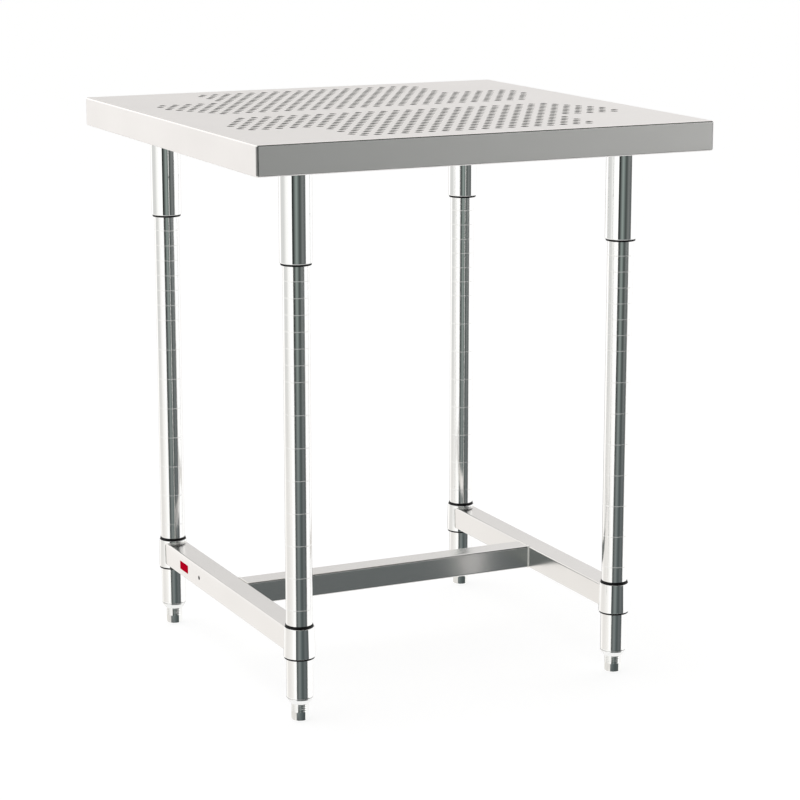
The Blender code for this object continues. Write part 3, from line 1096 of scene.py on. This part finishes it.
@dataclass
class SplitSleeves:
    """The black sleeves between the posts and the sockets or collars, each of two halves.

    Attributes:
        level: Upper sleeves or lower ones.
        bottom: Height of the sleeve's lower end.
        height: Height of the sleeve.
        shoulder: Height above its lower end where it starts to taper in to the post.
        slit: Width of the slit between the halves.
        edge: Radius of the sleeve's rounded edges.
        brim: Width of the sleeve's upper end.
        flange: How far the part that shows at the lower end stands out.
        steps: Steps round each half.
    """

    level: Level
    bottom: float
    height: float
    shoulder: float
    slit: float = 0.0008
    edge: float = 0.0004
    brim: float = 0.0002
    flange: float = 0.0006
    steps: int = 28

    def half_shape(self, centre: Pair, half: Half) -> Shape:
        """Half of a tapered sleeve.

        Args:
            centre: Where its axis stands.
            half: Which half it is.

        Returns:
            The shape.
        """
        bore = LAYOUT.post_radius + LAYOUT.gap
        top = self.bottom + self.height
        shown = LAYOUT.sleeve_show - LAYOUT.gap
        flange = LAYOUT.sleeve_bottom_radius + self.flange
        profile = soften([
            (bore, self.bottom, 0),
            (flange, self.bottom, self.edge),
            (flange, self.bottom + shown, self.edge),
            (LAYOUT.sleeve_radius(shown), self.bottom + shown, 0),
            (LAYOUT.sleeve_radius(self.shoulder), self.bottom + self.shoulder, self.edge),
            (bore + self.brim, top, self.brim / 2),
            (bore, top, 0),
        ])
        clear = self.slit / 2 / bore
        start = clear if half is Half.BACK else HALF_TURN + clear
        sweep = HALF_TURN - 2 * clear
        angles = [start + sweep * step / self.steps for step in range(self.steps + 1)]
        shape = Shape()
        shape.lathe(profile, angles, centre, closed=False)
        return shape

    def build(self) -> None:
        """Builds the eight halves at this level."""
        for corner in Corner:
            for half in Half:
                shape = self.half_shape(LAYOUT.place(corner), half)
                name = f"{self.level.tag}_half_sleeve_{corner.tag}_{half.tag}"
                node = f"{self.level.tag}_sleeve_{corner.tag}_{half.tag}"
                fit_piece(name, shape, FINISHES.plastic, self.level.value, node)


@dataclass
class LowerFrame:
    """The H-shaped frame: two side rails, the cross bar and a collar round each post.

    Attributes:
        wall: Wall of the square tube.
        corner: Radius of the tube's edges.
        corner_steps: Steps in each edge.
        flat_steps: Steps across each flat of the tube.
        guard: How far from an edge a point guards the shading of the flat beside it.
        vent_radius: Radius of the small hole in each rail.
        vent_offset: Distance of that hole from the middle of the rail.
        vent_sides: Sides that it is drawn with.
        upper_rim: Radius of a collar's rounded upper rim.
        lower_rim: Radius of a collar's rounded lower rim.
        rim_steps: Steps in each of them.
        collar_sides: Sides that a collar is drawn with.
        collar_bead: The weld where a rail meets its collar.
        bar_bead: The weld where the cross bar meets a rail.
        sticker_y: Where the sticker starts and ends along the left rail.
        sticker_z: Heights of its lower and upper edges.
        sticker_corner: Radius of its corners.
        sticker_lift: Distance of its back from the rail.
        sticker_thickness: Distance of its face from the rail.
        TOUCH: Places across the tube closer than this are on one face.
    """

    wall: float = 0.0015
    corner: float = 0.003
    corner_steps: int = 6
    flat_steps: int = 8
    guard: float = 0.0005
    vent_radius: float = 0.0035
    vent_offset: float = 0.1032
    vent_sides: int = 28
    upper_rim: float = 0.0008
    lower_rim: float = 0.0002
    rim_steps: int = 4
    collar_sides: int = 72
    collar_bead: Bead = Bead(radius=0.00084, ripple=1 / 9.8, waves=24)
    bar_bead: Bead = Bead(radius=0.0012, ripple=1 / 14, waves=30)
    sticker_y: Pair = (0.155, 0.192)
    sticker_z: Pair = (0.1197, 0.134)
    sticker_corner: float = 0.0015
    sticker_lift: float = 0.00002
    sticker_thickness: float = 0.00015

    TOUCH: ClassVar[float] = 1e-6

    def section(self, inset: float) -> list[Pair]:
        """The tube's outline at a depth below its outer face.

        Args:
            inset: The depth.

        Returns:
            The points, across the tube and up.
        """
        half = LAYOUT.rail_side / 2 - inset
        radius = max(self.corner - inset, self.guard)
        return rounded_box(half, half, radius, self.corner_steps, self.flat_steps, self.guard)

    def cope(self, across: float, height: float) -> float:
        """How far from the middle of the rail its cut end is, at a place on its section.

        Args:
            across: The place across the rail.
            height: The place above the floor.

        Returns:
            The distance along the rail.
        """
        reach = LAYOUT.collar_radius(height) + LAYOUT.gap
        return LAYOUT.leg_offset - math.sqrt(reach ** 2 - across ** 2)

    def rail_shape(self, side: Side) -> Shape:
        """A side rail, its ends cut to the collars, with the vent hole in its outer face.

        Args:
            side: Which rail it is.

        Returns:
            The shape.
        """
        shape = Shape()
        axis, level = side.value * LAYOUT.leg_offset, LAYOUT.rail_middle
        ends, vents = [], []
        for inset in (0.0, self.wall):
            points = self.section(inset)
            pair = [
                shape.ring((axis + x, end * self.cope(x, level + z), level + z) for x, z in points) for end in (-1, 1)
            ]
            face = side.value * (LAYOUT.rail_side / 2 - inset)
            on_face = [n for n, (x, _) in enumerate(points) if abs(x - face) < self.TOUCH]
            start = next(n for n in on_face if (n - 1) % len(points) not in on_face)
            run = [(start + step) % len(points) for step in range(len(on_face))]
            shape.bridge(*pair, left_out=run[:-1])
            vent = shape.ring(
                (axis + face, self.vent_radius * math.cos(a) - side.value * self.vent_offset,
                 level + self.vent_radius * math.sin(a))
                for a in even_angles(self.vent_sides)
            )
            border = [pair[0][n] for n in run] + [pair[1][n] for n in reversed(run)]
            shape.fill(border, [vent], (1, 2))
            ends.append(pair)
            vents.append(vent)
        for outer, inner in (*zip(*ends), vents):
            shape.bridge(outer, inner)
        return shape

    def bar_shape(self) -> Shape:
        """The cross bar between the rails.

        Returns:
            The shape.
        """
        shape = Shape()
        reach = LAYOUT.leg_offset - LAYOUT.rail_side / 2 - LAYOUT.gap
        ends = []
        for inset in (0.0, self.wall):
            points = self.section(inset)
            ends.append([
                shape.ring((end * reach, y, LAYOUT.rail_middle + z) for y, z in points) for end in (-1, 1)
            ])
            shape.bridge(*ends[-1])
        for outer, inner in zip(*ends):
            shape.bridge(outer, inner)
        return shape

    def collar_profile(self) -> list[Pair]:
        """The closed profile of a collar that tapers with the sleeve inside it, its rims drawn in and rounded.

        Returns:
            The (radius, height) points.
        """
        bottom, height = LAYOUT.collar_bottom, LAYOUT.collar_height
        top = bottom + height
        return soften([
            (LAYOUT.sleeve_radius(LAYOUT.sleeve_show + height) + LAYOUT.gap, top, 0),
            (LAYOUT.collar_radius(top), top, self.upper_rim),
            (LAYOUT.collar_radius(bottom), bottom, self.lower_rim),
            (LAYOUT.sleeve_radius(LAYOUT.sleeve_show) + LAYOUT.gap, bottom, 0),
        ], self.rim_steps, LAYOUT.guard)

    def collar_weld(self, corner: Corner) -> Shape:
        """The weld bead where a rail's cut end meets its collar.

        Args:
            corner: The leg.

        Returns:
            The shape.
        """
        x_side, y_side = corner.value
        level = LAYOUT.rail_middle
        return self.collar_bead.lay([
            Vector((x_side * LAYOUT.leg_offset + x, y_side * self.cope(x, level + z), level + z))
            for x, z in self.section(0.0)
        ])

    def bar_weld(self, side: Side) -> Shape:
        """The weld bead where the cross bar meets a rail.

        Args:
            side: Which rail it is.

        Returns:
            The shape.
        """
        reach = side.value * (LAYOUT.leg_offset - LAYOUT.rail_side / 2)
        return self.bar_bead.lay([Vector((reach, y, LAYOUT.rail_middle + z)) for y, z in self.section(0.0)])

    def sticker_shape(self) -> Shape:
        """The small blank sticker on the left rail.

        Returns:
            The shape.
        """
        face = -(LAYOUT.leg_offset + LAYOUT.rail_side / 2)
        half_y = (self.sticker_y[1] - self.sticker_y[0]) / 2
        half_z = (self.sticker_z[1] - self.sticker_z[0]) / 2
        middle_y, middle_z = sum(self.sticker_y) / 2, sum(self.sticker_z) / 2
        points = rounded_box(half_y, half_z, self.sticker_corner, steps=4, flats=2, guard=self.guard)
        shape = Shape()
        rings = [
            shape.ring((face - depth, middle_y + y, middle_z + z) for y, z in points)
            for depth in (self.sticker_lift, self.sticker_thickness)
        ]
        shape.loft(rings)
        shape.cap(*rings)
        return shape

    def build(self) -> None:
        """Builds the frame."""
        body = Body.LOWER_FRAME
        for side in Side:
            fit_piece(f"{side.tag}_rail_tube", self.rail_shape(side), FINISHES.tube_y, body, f"{side.tag}_rail")
            fit_piece(f"bar_weld_{side.tag}", self.bar_weld(side), FINISHES.weld, body)
        fit_piece("cross_bar_tube", self.bar_shape(), FINISHES.tube_x, body, "cross_bar")
        fit_piece("blank_sticker", self.sticker_shape(), FINISHES.sticker, body)
        for corner in Corner:
            collar = turned(self.collar_profile(), self.collar_sides, LAYOUT.place(corner))
            fit_piece("collar_" + corner.tag, collar, FINISHES.socket, body, "rail_collar_" + corner.tag)
            fit_piece("collar_weld_" + corner.tag, self.collar_weld(corner), FINISHES.weld, body)


@dataclass
class Legs:
    """The grooved posts, the inserts in their feet and the levelling feet.

    Attributes:
        wall: Wall of a post's tube.
        top: Height of the posts' upper ends.
        top_round: Radius of the rounding there.
        end_draw: How far a post's lower end is drawn in.
        end_height: Height over which it is drawn in.
        end_round: Radii of the roundings below and above that draw.
        first_groove: Height of the lowest groove.
        step: One inch, the distance between the upper grooves.
        double_steps: Grooves that follow the lowest one two inches apart.
        single_steps: Grooves that follow these one inch apart.
        groove_half: Half the width of a groove.
        groove_depth: Depth of a groove.
        groove_floor: The share of a groove's width that is flat.
        groove_round: Radii of the roundings at a groove's edges and at its floor.
        post_sides: Sides that a post is drawn with.
        insert_bottom: Height of an insert's lower end.
        insert_cone_top: Height where its cone meets its rim.
        insert_rim_top: Height of the rim's upper end, under the post.
        insert_top: Height of the spigot's upper end, in the post.
        insert_mouth: Outer radius of its lower end.
        insert_edge: Radius of its small roundings.
        insert_round: Radius of the roundings at its mouth and at the top of its spigot.
        insert_cone_round: Radius of the rounding between its cone and its rim.
        insert_bore_round: Radius of the rounding at the top of its bore.
        insert_sides: Sides that it is drawn with.
        hex_flat: Distance of the foot's flats from its axis.
        hex_crown: How far a flat falls off towards its corners.
        hex_turn: Direction of one of the hexagon's corners.
        hex_height: Height of the hexagon.
        hex_chamfer: The turned chamfer, as (height, radius) points from the sole up to the radius of the corners.
        hex_guards: How far below the hexagon's top two rings guard its shading.
        stem_radius: Radius of the threaded stem.
        stem_top: Height of the stem's upper end.
        stem_chamfer: The chamfer there.
        thread_top: Height that the thread is drawn to.
        thread_pitch: Pitch of the thread.
        thread_depth: Depth of the thread.
        thread_slope: How fast the groove of the thread rises, in depths for each pitch.
        thread_rows: Steps that a pitch is drawn with.
        foot_sides: Sides that a foot is drawn with.
    """

    wall: float = 0.0014
    top: float = 0.8901
    top_round: float = 0.0004
    end_draw: float = 0.0003
    end_height: float = 0.0016
    end_round: Pair = (0.0003, 0.0012)
    first_groove: float = 0.128
    step: float = 0.0254
    double_steps: int = 8
    single_steps: int = 13
    groove_half: float = 0.0006
    groove_depth: float = 0.00022
    groove_floor: float = 0.4
    groove_round: Pair = (0.0003, 0.0002)
    post_sides: int = 72
    insert_bottom: float = 0.027
    insert_cone_top: float = 0.0352
    insert_rim_top: float = 0.0368
    insert_top: float = 0.0659
    insert_mouth: float = 0.015
    insert_edge: float = 0.0003
    insert_round: float = 0.0008
    insert_cone_round: float = 0.0009
    insert_bore_round: float = 0.0004
    insert_sides: int = 64
    hex_flat: float = 0.0122
    hex_crown: float = 0.0005
    hex_turn: float = math.radians(44.0)
    hex_height: float = 0.0138
    hex_chamfer: tuple[Pair, ...] = ((0.0, 0.0112), (0.0003, 0.0119), (0.0007, 0.0126), (0.0012, 0.0137))
    hex_guards: Pair = (0.0005, 0.0002)
    stem_radius: float = 0.0134
    stem_top: float = 0.062
    stem_chamfer: float = 0.0008
    thread_top: float = 0.040
    thread_pitch: float = 0.003
    thread_depth: float = 0.0003
    thread_slope: float = 4.0
    thread_rows: int = 8
    foot_sides: int = 48

    def groove_heights(self) -> list[float]:
        """The heights of the grooves, from the lowest up."""
        heights = [self.first_groove + 2 * self.step * count for count in range(self.double_steps + 1)]
        return heights + [heights[-1] + self.step * (count + 1) for count in range(self.single_steps)]

    def post_profile(self) -> list[Pair]:
        """The post's closed profile, up the outer side and down the bore.

        Returns:
            The (radius, height) points.
        """
        radius, bottom = LAYOUT.post_radius, LAYOUT.post_bottom
        bore = radius - self.wall
        edge, floor = self.groove_round
        corners: list[Point] = [
            (bore, bottom, 0.0),
            (radius - self.end_draw, bottom, self.end_round[0]),
            (radius, bottom + self.end_height, self.end_round[1]),
        ]
        half, depth = self.groove_half, self.groove_depth
        for middle in self.groove_heights():
            corners += [
                (radius, middle - half - LAYOUT.guard, 0.0),
                (radius, middle - half, edge),
                (radius - depth, middle - half * self.groove_floor, floor),
                (radius - depth, middle + half * self.groove_floor, floor),
                (radius, middle + half, edge),
                (radius, middle + half + LAYOUT.guard, 0.0),
            ]
        corners += [(radius, self.top, self.top_round), (bore, self.top, 0.0)]
        return soften(corners, steps=2, guard=LAYOUT.guard / 4)

    def insert_profile(self) -> list[Pair]:
        """The closed profile of the plug in a post's foot: a spigot, a rim and a cone down to the stem.

        Returns:
            The (radius, height) points.
        """
        bore = self.stem_radius + LAYOUT.gap
        spigot = LAYOUT.post_radius - self.wall - LAYOUT.gap
        return soften([
            (spigot, self.insert_top, self.insert_round),
            (spigot, self.insert_rim_top, 0),
            (LAYOUT.post_radius, self.insert_rim_top, self.insert_edge),
            (LAYOUT.post_radius, self.insert_cone_top, self.insert_cone_round),
            (self.insert_mouth, self.insert_bottom, self.insert_round),
            (bore, self.insert_bottom, self.insert_edge),
            (bore, self.insert_top, self.insert_bore_round),
        ], guard=LAYOUT.guard / 4)

    def foot_shape(self, centre: Pair) -> Shape:
        """A levelling foot: a hexagon with turned chamfers and a threaded stem.

        Args:
            centre: Where its axis stands.

        Returns:
            The shape.
        """
        shape = Shape()
        angles = even_angles(self.foot_sides, self.hex_turn)
        turns = [(math.cos(a), math.sin(a)) for a in angles]
        rings: list[Ring] = []

        def add_ring(height: float, reaches: Sequence[float]) -> None:
            """Adds the foot's next ring, with its distance from the axis in each direction."""
            around = zip(turns, reaches)
            rings.append(shape.ring((centre[0] + r * c, centre[1] + r * s, height) for (c, s), r in around))

        guards = [(self.hex_height - below, self.hex_chamfer[-1][1]) for below in self.hex_guards]
        for height, radius in (*self.hex_chamfer, *guards):
            add_ring(height, [min(radius, self._hex_radius(a)) for a in angles])
        threaded = self.thread_top - self.hex_height
        rows = int(threaded / self.thread_pitch * self.thread_rows)
        for row in range(rows + 1):
            height = self.hex_height + threaded * row / rows
            fade = min(1.0, row / self.thread_rows, (rows - row) / self.thread_rows)
            add_ring(height, [self._thread_radius(a, height, fade) for a in angles])
        add_ring(self.stem_top - self.stem_chamfer, [self.stem_radius] * self.foot_sides)
        add_ring(self.stem_top, [self.stem_radius - self.stem_chamfer] * self.foot_sides)
        shape.loft(rings)
        shape.cap(rings[0], rings[-1])
        return shape

    def _hex_radius(self, angle: float) -> float:
        """Distance of the hexagon's side from its axis in a direction.

        Args:
            angle: The direction.

        Returns:
            The distance.
        """
        off = (angle - self.hex_turn) % SIXTH_TURN - SIXTH_TURN / 2
        fall = self.hex_crown * (math.tan(off) / math.tan(SIXTH_TURN / 2)) ** 2
        return (self.hex_flat - fall) / math.cos(off)

    def _thread_radius(self, angle: float, height: float, fade: float) -> float:
        """The stem's radius in a direction and at a height.

        Args:
            angle: The direction.
            height: The height.
            fade: How deep the thread is there, from 0 to 1.

        Returns:
            The radius.
        """
        phase = (height / self.thread_pitch - angle / FULL_TURN) % 1.0
        return self.stem_radius - self.thread_depth * fade * max(0.0, 1 - self.thread_slope * abs(phase - 0.5))

    def build(self) -> None:
        """Builds the legs."""
        for corner in Corner:
            centre, tag = LAYOUT.place(corner), corner.tag
            post = turned(self.post_profile(), self.post_sides, centre)
            insert = turned(self.insert_profile(), self.insert_sides, centre)
            foot, body = "levelling_foot_" + tag, Body("foot_" + tag)
            fit_piece("post_tube_" + tag, post, FINISHES.post, Body.POSTS, "post_" + tag)
            fit_piece("insert_" + tag, insert, FINISHES.zinc, Body.POSTS, "foot_insert_" + tag)
            fit_piece("threaded_foot_" + tag, self.foot_shape(centre), FINISHES.foot, body, foot)


# The studio


@dataclass
class Studio:
    """The camera, the light and the floor.

    The room's brightness goes by direction, in degrees from the direction of the camera, positive to its right. A
    direction's height runs from -1 straight down to 1 straight up, and a pair of heights is where one part of the
    room gives way to the next.

    Attributes:
        camera_place: Where the camera stands.
        camera_turn: Its rotation.
        lens: Its focal length in millimetres.
        sensor: Width of its sensor in millimetres.
        far_end: How far it sees.
        room: Brightness of the room at eye level.
        near_floor: Brightness of the room's lower part.
        near_floor_from: Heights from the room to that part.
        under: Brightness of the floor near the table.
        under_from: Heights from the lower part to that floor.
        ceiling: Brightness of the room's upper part.
        ceiling_from: Heights from the room to that part.
        ground: Brightness of the room straight below.
        ground_from: Heights from the floor to the ground straight below.
        doorway: Brightness of the pale band at eye level on the right, which the front apron shows.
        doorway_heights: Heights over which it begins and over which it ends.
        doorway_turns: Degrees over which it begins and over which it ends.
        lamp_watts: Power of the soft lamp overhead.
        lamp_size: Its width.
        lamp_place: Where it hangs.
        floor_radii: Radii of the floor's rings, from the middle out.
        floor_sides: Sides of those rings.
        floor_colour: Its colour as the table sees it.
        floor_shade: The part of its colour that shows the table's shadow to the camera.
        floor_glow: The part that makes it white to the camera.
    """

    camera_place: Point = (-1.7316, -3.7151, 1.3255)
    camera_turn: Point = (math.radians(77.573), 0.0, math.radians(-25.298))
    lens: float = 114.444
    sensor: float = 36.0
    far_end: float = 200.0
    room: Stops = (
        (-180.0, (0.76, 0.75, 0.74)), (-160.0, (0.73, 0.72, 0.71)), (-152.0, (0.78, 0.77, 0.76)),
        (-147.0, (1.3, 1.29, 1.27)), (-140.0, (1.3, 1.29, 1.27)), (-133.0, (1.14, 1.12, 1.1)),
        (-124.0, (1.06, 1.04, 1.03)), (-117.0, (0.7, 0.705, 0.69)), (-90.0, (0.7, 0.705, 0.69)),
        (-80.0, (0.8, 0.8, 0.78)), (-66.0, (1.02, 1.02, 1.0)), (-44.0, (1.1, 1.1, 1.09)),
        (-24.5, (1.15, 1.15, 1.14)), (-22.5, (0.035, 0.04, 0.038)), (-16.0, (0.022, 0.027, 0.025)),
        (-8.0, (0.1, 0.115, 0.11)), (0.0, (0.21, 0.244, 0.23)), (8.0, (0.28, 0.327, 0.309)),
        (16.0, (0.19, 0.224, 0.21)), (25.0, (0.086, 0.101, 0.096)), (33.0, (0.07, 0.08, 0.076)),
        (41.0, (0.13, 0.145, 0.14)), (50.0, (0.196, 0.207, 0.204)), (59.0, (0.146, 0.157, 0.155)),
        (70.0, (0.12, 0.13, 0.128)), (73.5, (0.15, 0.15, 0.15)), (75.5, (1.1, 1.1, 1.1)),
        (125.0, (1.1, 1.1, 1.1)), (155.0, (1.06, 1.055, 1.05)), (168.0, (0.93, 0.92, 0.91)),
        (180.0, (0.76, 0.75, 0.74)),
    )
    near_floor: Stops = (
        (-180.0, (0.2, 0.2, 0.195)), (-166.0, (0.26, 0.26, 0.25)), (-152.0, (1.04, 1.03, 1.01)),
        (-140.0, (1.06, 1.04, 1.02)), (-125.0, (1.02, 1.0, 0.97)), (-118.0, (0.87, 0.85, 0.82)),
        (-95.0, (0.84, 0.82, 0.79)), (-70.0, (0.9, 0.88, 0.85)), (-55.0, (0.95, 0.94, 0.91)),
        (-40.0, (1.1, 1.1, 1.08)), (-24.5, (1.1, 1.1, 1.08)), (-22.5, (0.08, 0.092, 0.09)),
        (-16.0, (0.085, 0.1, 0.097)), (-8.0, (0.15, 0.168, 0.165)), (0.0, (0.2, 0.22, 0.218)),
        (8.0, (0.18, 0.207, 0.205)), (16.0, (0.12, 0.142, 0.142)), (25.0, (0.08, 0.098, 0.098)),
        (33.0, (0.082, 0.098, 0.098)), (41.0, (0.115, 0.13, 0.13)), (50.0, (0.132, 0.148, 0.152)),
        (59.0, (0.105, 0.118, 0.12)), (70.0, (0.1, 0.11, 0.11)), (73.5, (0.13, 0.135, 0.135)),
        (75.5, (1.1, 1.1, 1.1)), (168.0, (1.05, 1.05, 1.04)), (175.0, (0.28, 0.28, 0.27)),
        (180.0, (0.2, 0.2, 0.195)),
    )
    near_floor_from: Pair = (-0.19, -0.26)
    under: Stops = (
        (-180.0, (1.0, 0.99, 0.98)), (-24.5, (1.06, 1.06, 1.04)), (-22.5, (0.08, 0.092, 0.09)),
        (0.0, (0.13, 0.14, 0.14)), (20.0, (0.075, 0.085, 0.085)), (60.0, (0.08, 0.09, 0.09)),
        (80.0, (0.12, 0.125, 0.125)), (92.0, (0.3, 0.3, 0.3)), (101.0, (1.0, 1.0, 1.0)),
        (180.0, (1.0, 0.99, 0.98)),
    )
    under_from: Pair = (-0.36, -0.5)
    ceiling: Stops = (
        (-180.0, (0.86, 0.85, 0.84)), (-160.0, (0.8, 0.79, 0.78)), (-145.0, (1.1, 1.09, 1.07)),
        (-60.0, (1.05, 1.05, 1.04)), (-30.0, (0.3, 0.31, 0.305)), (30.0, (0.26, 0.28, 0.27)),
        (50.0, (0.06, 0.06, 0.06)), (100.0, (0.06, 0.06, 0.06)), (125.0, (1.1, 1.1, 1.09)),
        (160.0, (1.05, 1.04, 1.03)), (180.0, (0.86, 0.85, 0.84)),
    )
    ceiling_from: Pair = (0.2, 0.45)
    ground: Colour = (1.0, 1.0, 0.99)
    ground_from: Pair = (-0.7, -0.86)
    doorway: Colour = (2.3, 2.32, 2.26)
    doorway_heights: tuple[Pair, Pair] = ((-0.12, -0.07), (0.08, 0.15))
    doorway_turns: tuple[Pair, Pair] = ((44.0, 78.0), (80.0, 95.0))
    lamp_watts: float = 26.0
    lamp_size: float = 2.6
    lamp_place: Point = (-0.4, -0.3, 3.4)
    floor_radii: tuple[float, ...] = (0.5, 2.0, 8.0, 30.0)
    floor_sides: int = 48
    floor_colour: Colour = (0.8, 0.8, 0.795)
    floor_shade: Colour = (0.3, 0.3, 0.3)
    floor_glow: float = 0.8

    def place_camera(self) -> None:
        """Sets up the camera at the photograph's view."""
        data = bpy.data.cameras.new("view_camera")
        data.lens, data.sensor_width, data.clip_end = self.lens, self.sensor, self.far_end
        camera = add_object("view_camera", data)
        camera.location = self.camera_place
        camera.rotation_euler = self.camera_turn
        bpy.context.scene.camera = camera

    def light_room(self) -> None:
        """Makes the room: bright all round, with a dark side behind the camera, and white where it is seen."""
        world = bpy.data.worlds.new("studio_room")
        bpy.context.scene.world = world
        world.use_nodes = True
        graph = Graph(world.node_tree)
        background = world.node_tree.nodes["Background"]
        direction = graph.add("TexCoord").outputs["Generated"]
        yaw = -self.camera_turn[2]
        towards = (-math.sin(yaw), -math.cos(yaw), 0.0)
        rightward = (math.cos(yaw), -math.sin(yaw), 0.0)
        right, ahead = (graph.vector("DOT_PRODUCT", direction, way).outputs[1] for way in (rightward, towards))
        turn = graph.maths("ARCTAN2", right, ahead)
        share = graph.span(turn, (-HALF_TURN, HALF_TURN))
        around, low, near, overhead = (
            graph.ramp(share, tuple((degrees / 360 + 0.5, colour) for degrees, colour in stops))
            for stops in (self.room, self.near_floor, self.under, self.ceiling)
        )
        height = graph.add("SeparateXYZ", {0: direction}).outputs[2]
        door_turns = [tuple(math.radians(degrees) for degrees in pair) for pair in self.doorway_turns]
        door = graph.maths("MULTIPLY", graph.window(height, *self.doorway_heights), graph.window(turn, *door_turns))
        walls = graph.blend(graph.span(height, self.near_floor_from), around, low)
        walls = graph.blend(graph.span(height, self.under_from), walls, near)
        walls = graph.blend(door, walls, self.doorway)
        walls = graph.blend(graph.span(height, self.ceiling_from), walls, overhead)
        walls = graph.blend(graph.span(height, self.ground_from), walls, self.ground)
        seen = graph.add("LightPath").outputs["Is Camera Ray"]
        graph.wire(background.inputs["Color"], graph.blend(seen, walls, WHITE))
        background.inputs["Strength"].default_value = 1.0

    def hang_lamp(self) -> None:
        """Hangs one wide soft lamp over the table, which gives the floor its shadow."""
        data = bpy.data.lights.new("overhead_lamp", "AREA")
        data.shape = "DISK"
        data.size = self.lamp_size
        data.energy = self.lamp_watts
        lamp = add_object("overhead_lamp", data)
        lamp.location = self.lamp_place
        lamp.visible_glossy = False

    def lay_floor(self) -> None:
        """Lays the pale floor, which shows white to the camera and keeps a soft shadow."""
        material = bpy.data.materials.new("studio_floor")
        material.use_nodes = True
        nodes = material.node_tree.nodes
        nodes.remove(nodes["Principled BSDF"])
        graph = Graph(material.node_tree)
        plain, shaded = (graph.add("BsdfDiffuse", {"Color": tint}) for tint in (self.floor_colour, self.floor_shade))
        glow = graph.add("Emission", {"Color": WHITE, "Strength": self.floor_glow})
        bright = graph.add("AddShader", {0: shaded.outputs[0], 1: glow.outputs[0]})
        path = graph.add("LightPath")
        seen = graph.maths("MAXIMUM", path.outputs["Is Camera Ray"], path.outputs["Is Transmission Ray"])
        mix = graph.add("MixShader", {0: seen, 1: plain.outputs[0], 2: bright.outputs[0]})
        graph.wire(nodes["Material Output"].inputs["Surface"], mix.outputs[0])
        shape = Shape()
        turns = [(math.cos(a), math.sin(a)) for a in even_angles(self.floor_sides)]
        rings = [shape.ring((r * c, r * s, 0.0) for c, s in turns) for r in self.floor_radii]
        shape.cap(rings[0])
        shape.loft(rings)
        floor = add_object("studio_floor", shape.mesh("studio_floor"))
        floor.data.materials.append(material)
        floor.visible_glossy = False

    def build(self) -> None:
        """Sets up the studio."""
        self.place_camera()
        self.light_room()
        self.hang_lamp()
        self.lay_floor()
        bpy.context.scene.view_settings.view_transform = "Standard"
        log.info("studio ready")


def main() -> None:
    """Builds the studio and the table, one sub-assembly after another."""
    logging.basicConfig(level=logging.INFO, format="%(message)s")
    upper_bottom = LAYOUT.socket_bottom - LAYOUT.sleeve_show
    lower_bottom = LAYOUT.collar_bottom - LAYOUT.sleeve_show
    assemblies = (
        Studio(),
        Worktop(),
        SplitSleeves(Level.UPPER, upper_bottom, height=LAYOUT.sleeve_height, shoulder=0.0565),
        LowerFrame(),
        SplitSleeves(Level.LOWER, lower_bottom, height=0.0544, shoulder=0.0506),
        Legs(),
    )
    for assembly in assemblies:
        assembly.build()


if __name__ == "__main__":
    main()
